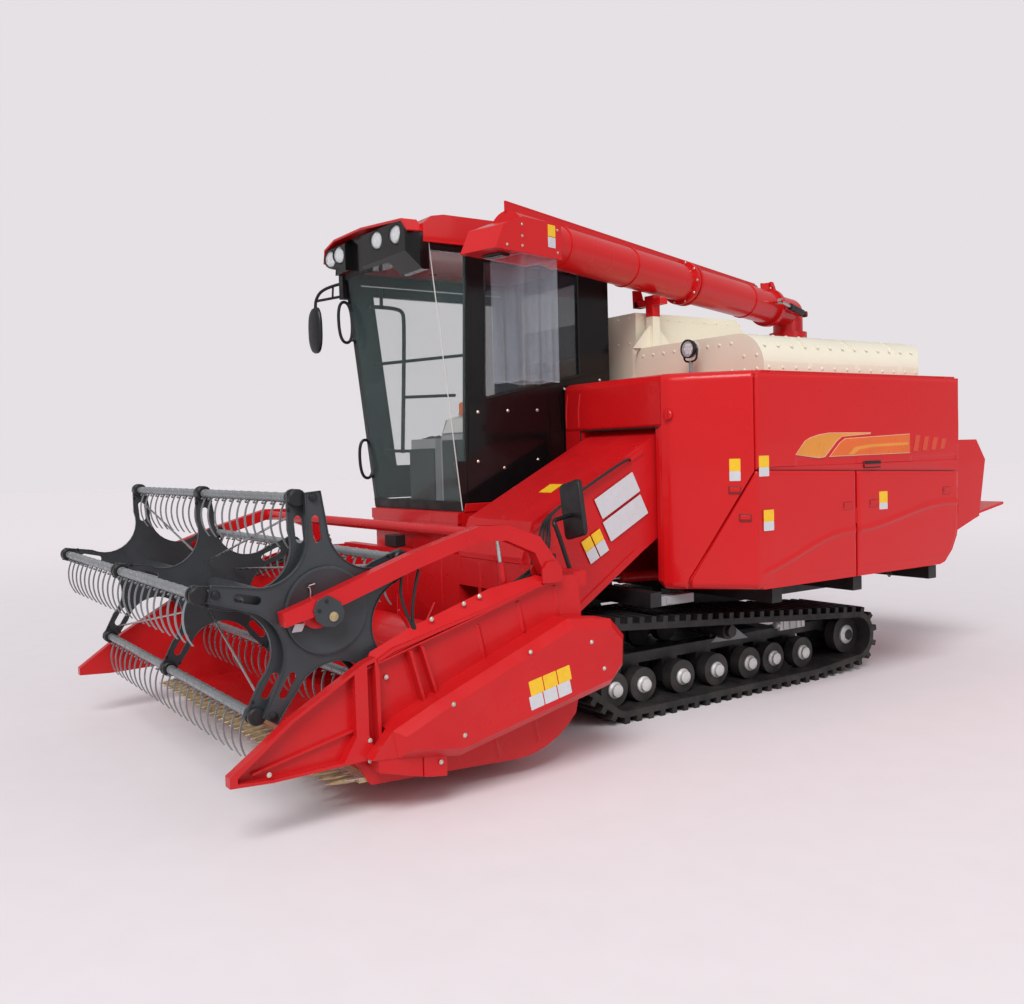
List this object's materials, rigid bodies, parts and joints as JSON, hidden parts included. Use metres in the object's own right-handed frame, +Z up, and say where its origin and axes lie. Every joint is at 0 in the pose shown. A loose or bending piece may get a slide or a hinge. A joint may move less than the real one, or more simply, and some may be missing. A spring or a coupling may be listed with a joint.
{
  "type": "tracked combine harvester",
  "caption": "Grain harvester on rubber tracks, with a tined reel header, feeder house, closed cab, grain tank and swinging unloading auger.",
  "frame": {"origin": "on the ground, under the middle of the machine's overall box", "axes": "+X to the machine's left, -Y forward towards the reel, +Y rearward, +Z up"},
  "size_m": [2.8, 5.6678, 2.8127],
  "materials": {
    "red_paint": "gloss",
    "frame_black": "satin",
    "cream_paint": "gloss",
    "track_rubber": "matte",
    "reel_black": "satin",
    "bar_grey": "satin",
    "steel": "satin",
    "cast": "matte",
    "black_plastic": "matte",
    "grey_plastic": "matte",
    "tinted_glass": "gloss",
    "lamp_glass": "gloss",
    "curtain": "gloss",
    "seat_cloth": "matte"
  },
  "bodies": {
    "machine": {"main_frame": "frame_black", "track_frames": "frame_black", "track_left": "track_rubber", "track_right": "track_rubber", "track_wheels": "cast", "drive_sprockets": "cast", "transmission": "cast", "engine_block": "cast", "cab_base": "red_paint", "thresher_body": "red_paint", "front_cowl": "red_paint", "thresher_cover": "cream_paint", "grain_tank": "red_paint", "tank_top": "cream_paint", "straw_chute": "red_paint", "cab_frame": "frame_black", "cab_roof": "red_paint", "cab_glass": "tinted_glass", "lamp_visor": "black_plastic", "work_lamps": "lamp_glass", "seat_pads": "seat_cloth", "console": "grey_plastic", "mirror_right": "black_plastic", "handrails": "steel", "boarding_step": "frame_black", "auger_riser": "red_paint", "auger_rest": "cream_paint"},
    "cab_door": {"cab_door": "frame_black", "cab_door_glass": "tinted_glass"},
    "side_door_front": {"side_door_front": "red_paint"},
    "side_door_rear": {"side_door_rear": "red_paint"},
    "side_panel": {"side_panel": "red_paint"},
    "auger_turret": {"auger_elbow": "red_paint"},
    "auger_boom": {"auger_tube": "red_paint", "spout_curtain": "curtain"},
    "boom_lift_barrel": {"boom_lift_barrel": "frame_black"},
    "boom_lift_rod": {"boom_lift_rod": "steel"},
    "header": {"feeder_house": "red_paint", "header_frame": "red_paint", "header_sides": "red_paint", "dividers": "red_paint", "knife_bar": "steel", "drive_covers": "red_paint", "mirror_left": "black_plastic"},
    "header_lift_barrel": {"header_lift_barrel": "red_paint"},
    "header_lift_rod": {"header_lift_rod": "steel"},
    "header_auger": {"header_auger": "red_paint"},
    "reel_arms": {"reel_arms": "red_paint", "cam_disc": "reel_black"},
    "reel_lift_barrel": {"reel_lift_barrel": "red_paint"},
    "reel_lift_rod": {"reel_lift_rod": "steel"},
    "reel": {"reel_spiders": "reel_black"},
    "reel_eccentric": {"reel_eccentric": "reel_black"},
    "tine_bar_1": {"tine_bar_1": "bar_grey"},
    "tine_bar_2": {"tine_bar_2": "bar_grey"},
    "tine_bar_3": {"tine_bar_3": "bar_grey"},
    "tine_bar_4": {"tine_bar_4": "bar_grey"},
    "tine_bar_5": {"tine_bar_5": "bar_grey"}
  },
  "joints": [
    {"name": "header_lift", "type": "hinge", "parent": "machine", "child": "header", "pos_m": [0.5, -0.06, 1.18], "axis": [-1, 0, 0], "range_deg": [-1.5, 15]},
    {"name": "header_cylinder", "type": "hinge", "parent": "machine", "child": "header_lift_barrel", "pos_m": [0.5, 0.26, 0.715], "axis": [-1, 0, 0], "range_deg": [-3, 12]},
    {"name": "header_rod", "type": "slide", "parent": "header_lift_barrel", "child": "header_lift_rod", "axis": [0, -0.9996, 0.027], "range_m": [-0.03, 0.16]},
    {"name": "auger_spin", "type": "hinge", "parent": "header", "child": "header_auger", "pos_m": [0, -1.44, 0.462], "axis": [1, 0, 0], "continuous": true},
    {"name": "reel_lift", "type": "hinge", "parent": "header", "child": "reel_arms", "pos_m": [0, -1.245, 0.93], "axis": [-1, 0, 0], "range_deg": [0, 24]},
    {"name": "reel_cylinder", "type": "hinge", "parent": "header", "child": "reel_lift_barrel", "pos_m": [1.19, -1.44, 0.8], "axis": [-1, 0, 0], "range_deg": [-4, 20]},
    {"name": "reel_rod", "type": "slide", "parent": "reel_lift_barrel", "child": "reel_lift_rod", "axis": [0, -0.1257, 0.9921], "range_m": [-0.02, 0.11]},
    {"name": "reel_spin", "type": "hinge", "parent": "reel_arms", "child": "reel", "pos_m": [0, -2.365, 0.854], "axis": [1, 0, 0], "continuous": true},
    {"name": "eccentric_spin", "type": "hinge", "parent": "reel_arms", "child": "reel_eccentric", "pos_m": [1.2, -2.31, 0.854], "axis": [1, 0, 0], "continuous": true},
    {"name": "tine_bar_1_turn", "type": "hinge", "parent": "reel", "child": "tine_bar_1", "pos_m": [0, -2.40132, 1.30253], "axis": [1, 0, 0], "continuous": true},
    {"name": "tine_bar_2_turn", "type": "hinge", "parent": "reel", "child": "tine_bar_2", "pos_m": [0, -2.8028, 0.95806], "axis": [1, 0, 0], "continuous": true},
    {"name": "tine_bar_3_turn", "type": "hinge", "parent": "reel", "child": "tine_bar_3", "pos_m": [0, -2.59925, 0.46978], "axis": [1, 0, 0], "continuous": true},
    {"name": "tine_bar_4_turn", "type": "hinge", "parent": "reel", "child": "tine_bar_4", "pos_m": [0, -2.07197, 0.51248], "axis": [1, 0, 0], "continuous": true},
    {"name": "tine_bar_5_turn", "type": "hinge", "parent": "reel", "child": "tine_bar_5", "pos_m": [0, -1.94965, 1.02715], "axis": [1, 0, 0], "continuous": true},
    {"name": "auger_swing", "type": "hinge", "parent": "machine", "child": "auger_turret", "pos_m": [-0.28, 2.235, 2.3], "axis": [0, 0, 1], "range_deg": [0, 110]},
    {"name": "auger_lift", "type": "hinge", "parent": "auger_turret", "child": "auger_boom", "pos_m": [-0.20209, 1.91536, 2.65], "axis": [-0.9716, -0.2368, 0], "range_deg": [0, 30]},
    {"name": "boom_cylinder", "type": "hinge", "parent": "auger_turret", "child": "boom_lift_barrel", "pos_m": [-0.10257, 2.21649, 2.44], "axis": [-0.9716, -0.2368, 0], "range_deg": [-4, 14]},
    {"name": "boom_rod", "type": "slide", "parent": "boom_lift_barrel", "child": "boom_lift_rod", "axis": [0.2341, -0.9603, 0.1521], "range_m": [-0.01, 0.11]},
    {"name": "cab_door_hinge", "type": "hinge", "parent": "machine", "child": "cab_door", "pos_m": [-1.1, 0.131, 1.317], "axis": [0, 0, 1], "range_deg": [-80, 0]},
    {"name": "side_door_front_hinge", "type": "hinge", "parent": "machine", "child": "side_door_front", "pos_m": [1.246, 0.982, 1.045], "axis": [0, 0, 1], "range_deg": [0, 90]},
    {"name": "side_door_rear_hinge", "type": "hinge", "parent": "machine", "child": "side_door_rear", "pos_m": [1.246, 2.013, 1.045], "axis": [0, 0, 1], "range_deg": [0, 90]},
    {"name": "side_panel_hinge", "type": "hinge", "parent": "machine", "child": "side_panel", "pos_m": [1.246, 0.281, 1.856], "axis": [0, -1, 0], "range_deg": [0, 75]}
  ],
  "couplings": [
    {"joint": "header_cylinder", "follows": "header_lift", "ratio": 0.5455},
    {"joint": "header_rod", "follows": "header_lift", "m_per_rad": 0.43502},
    {"joint": "reel_cylinder", "follows": "reel_lift", "ratio": 0.6216},
    {"joint": "reel_rod", "follows": "reel_lift", "m_per_rad": 0.19719},
    {"joint": "boom_cylinder", "follows": "auger_lift", "ratio": 0.2838},
    {"joint": "boom_rod", "follows": "auger_lift", "m_per_rad": 0.14915},
    {"joint": "eccentric_spin", "follows": "reel_spin", "ratio": 1},
    {"joint": "tine_bar_1_turn", "follows": "reel_spin", "ratio": -1},
    {"joint": "tine_bar_2_turn", "follows": "reel_spin", "ratio": -1},
    {"joint": "tine_bar_3_turn", "follows": "reel_spin", "ratio": -1},
    {"joint": "tine_bar_4_turn", "follows": "reel_spin", "ratio": -1},
    {"joint": "tine_bar_5_turn", "follows": "reel_spin", "ratio": -1}
  ]
}
